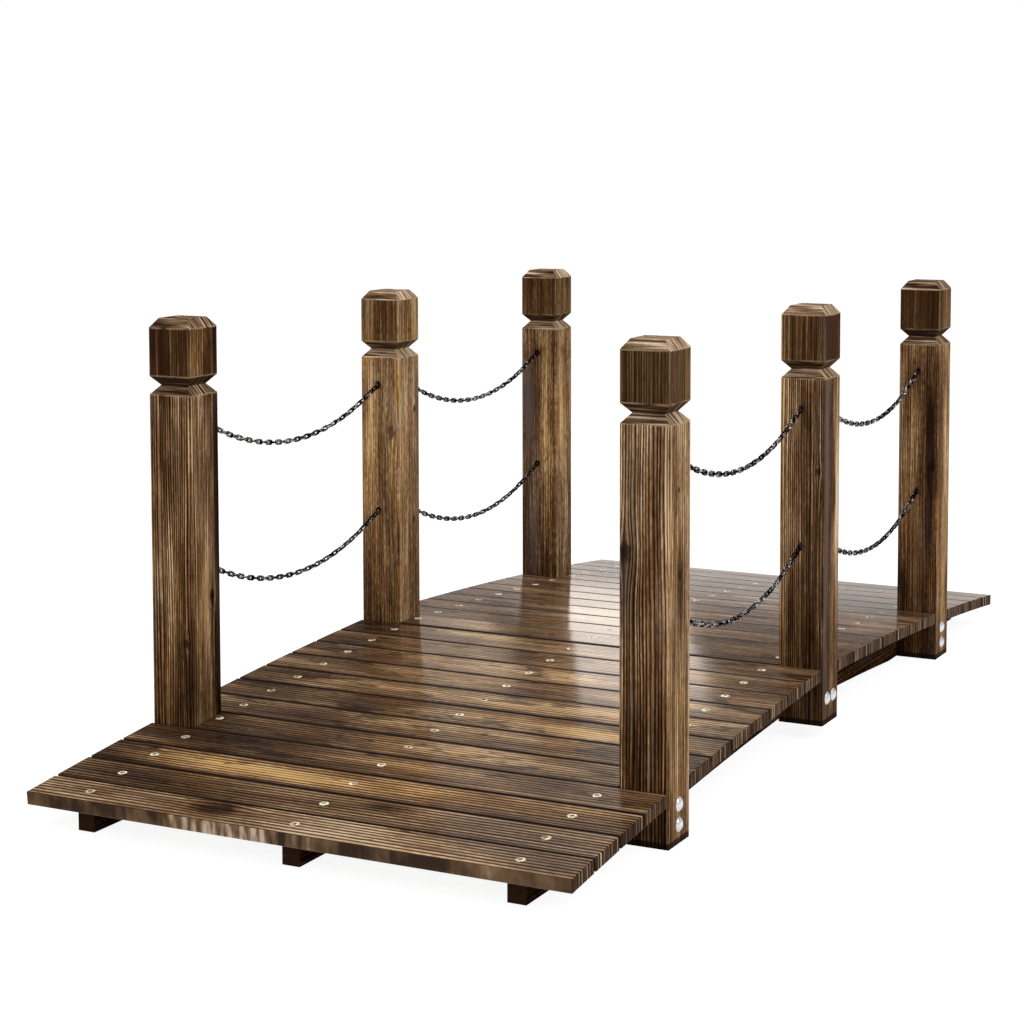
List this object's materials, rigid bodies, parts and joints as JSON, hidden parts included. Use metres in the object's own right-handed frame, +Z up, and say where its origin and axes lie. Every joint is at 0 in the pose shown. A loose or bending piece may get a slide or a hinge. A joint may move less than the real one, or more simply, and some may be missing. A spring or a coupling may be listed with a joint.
{
  "type": "wooden garden footbridge",
  "caption": "Low arched garden footbridge: narrow boards laid across arched beams, square posts with chamfered heads above a V groove, and slack black chains along both sides.",
  "frame": {"origin": "centre of the footprint, on the ground under the middle of the bridge", "axes": "+X along the walk towards the back end, +Y across it to the left side, +Z up"},
  "size_m": [1.51, 0.6626, 0.538],
  "materials": {
    "deck_wood": "brushed, charred and stained softwood with a satin coat",
    "post_wood": "brushed, charred and stained softwood, matt to satin",
    "beam_wood": "dark stained softwood, matt",
    "black_chain": "black coated steel chain, satin, worn bright in places",
    "black_eye": "black coated steel wire, satin",
    "zinc_bolt": "bright zinc plated steel",
    "yellow_zinc_screw": "yellow zinc plated steel"
  },
  "bodies": {
    "root": {"carriage_bolts": "zinc_bolt", "centre_beam_back": "beam_wood", "centre_beam_front": "beam_wood", "chain_lower_back_left": "black_chain", "chain_lower_back_right": "black_chain", "chain_lower_front_left": "black_chain", "chain_lower_front_right": "black_chain", "chain_upper_back_left": "black_chain", "chain_upper_back_right": "black_chain", "chain_upper_front_left": "black_chain", "chain_upper_front_right": "black_chain", "deck_board_01": "deck_wood", "deck_board_02": "deck_wood", "deck_board_03": "deck_wood", "deck_board_04": "deck_wood", "deck_board_05": "deck_wood", "deck_board_06": "deck_wood", "deck_board_07": "deck_wood", "deck_board_08": "deck_wood", "deck_board_09": "deck_wood", "deck_board_10": "deck_wood", "deck_board_11": "deck_wood", "deck_board_12": "deck_wood", "deck_board_13": "deck_wood", "deck_board_14": "deck_wood", "deck_board_15": "deck_wood", "deck_board_16": "deck_wood", "deck_board_17": "deck_wood", "deck_board_18": "deck_wood", "deck_board_19": "deck_wood", "deck_board_20": "deck_wood", "deck_board_21": "deck_wood", "deck_board_22": "deck_wood", "deck_board_23": "deck_wood", "deck_board_24": "deck_wood", "deck_board_25": "deck_wood", "deck_screws": "yellow_zinc_screw", "outer_beam_back_left": "beam_wood", "outer_beam_back_right": "beam_wood", "outer_beam_front_left": "beam_wood", "outer_beam_front_right": "beam_wood", "post_back_left": "post_wood", "post_back_right": "post_wood", "post_front_left": "post_wood", "post_front_right": "post_wood", "post_middle_left": "post_wood", "post_middle_right": "post_wood", "screw_eyes": "black_eye"}
  },
  "joints": []
}
